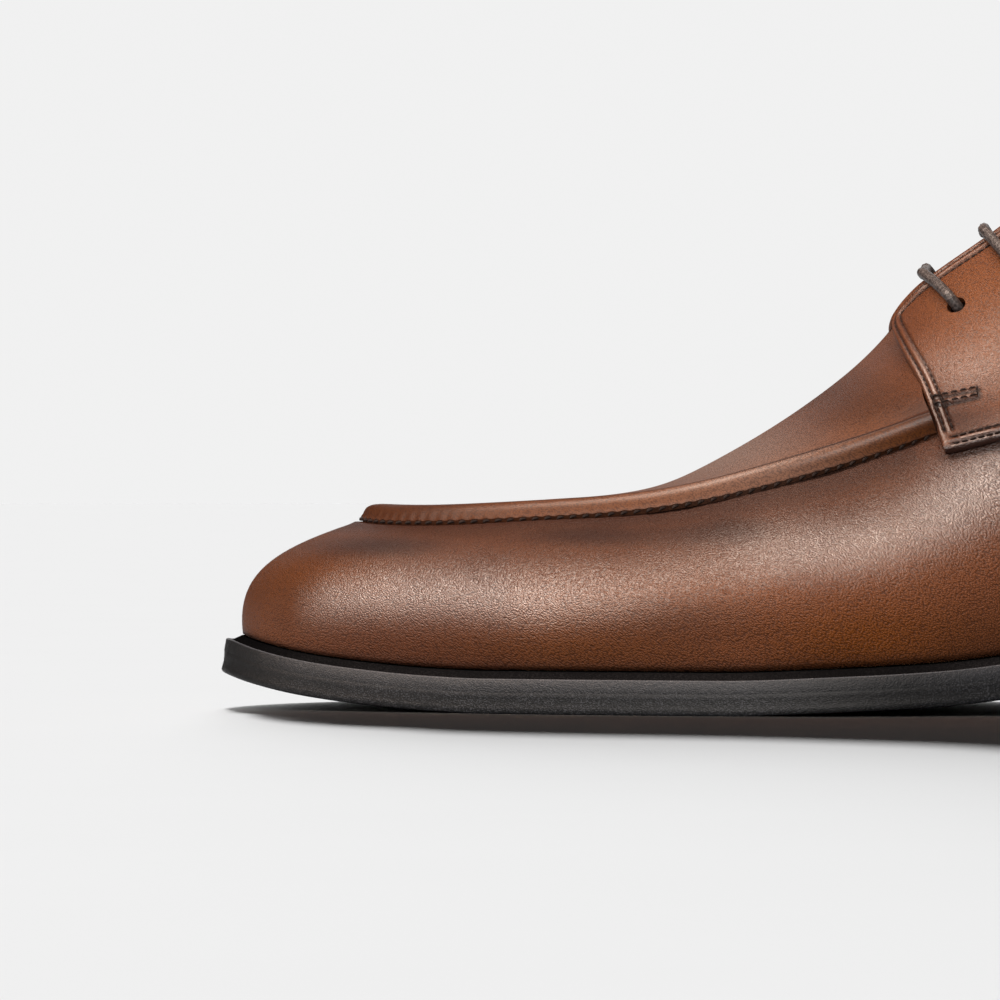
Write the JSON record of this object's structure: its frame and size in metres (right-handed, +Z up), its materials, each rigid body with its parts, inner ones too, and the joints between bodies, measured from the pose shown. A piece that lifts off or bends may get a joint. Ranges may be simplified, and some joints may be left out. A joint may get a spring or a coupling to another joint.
{
  "type": "leather lace-up shoe",
  "caption": "Left leather dress shoe with an apron toe, open lace quarters, straight-bar lacing, welted black sole and stacked heel.",
  "frame": {"origin": "middle of the bounding box on the floor that the shoe stands on", "axes": "+X from toe to heel along the shoe's length, +Y from its outer to its inner side, +Z up"},
  "size_m": [0.3019, 0.1043, 0.1173],
  "materials": {
    "brown_leather": "burnished satin",
    "lining_leather": "matte",
    "black_welt": "wheeled satin",
    "black_sole": "waxed edge",
    "black_rubber": "matte",
    "dark_lace": "waxed braid"
  },
  "bodies": {
    "root": {"upper": "brown_leather", "apron": "brown_leather", "quarter_lateral": "brown_leather", "quarter_medial": "brown_leather", "tongue": "brown_leather", "insole": "lining_leather", "welt": "black_welt", "outsole": "black_sole", "heel": "black_sole", "heel_top_piece": "black_rubber", "lace_bar_1": "dark_lace", "lace_bar_2": "dark_lace", "lace_bar_3": "dark_lace", "lace_bar_4": "dark_lace"}
  },
  "joints": []
}
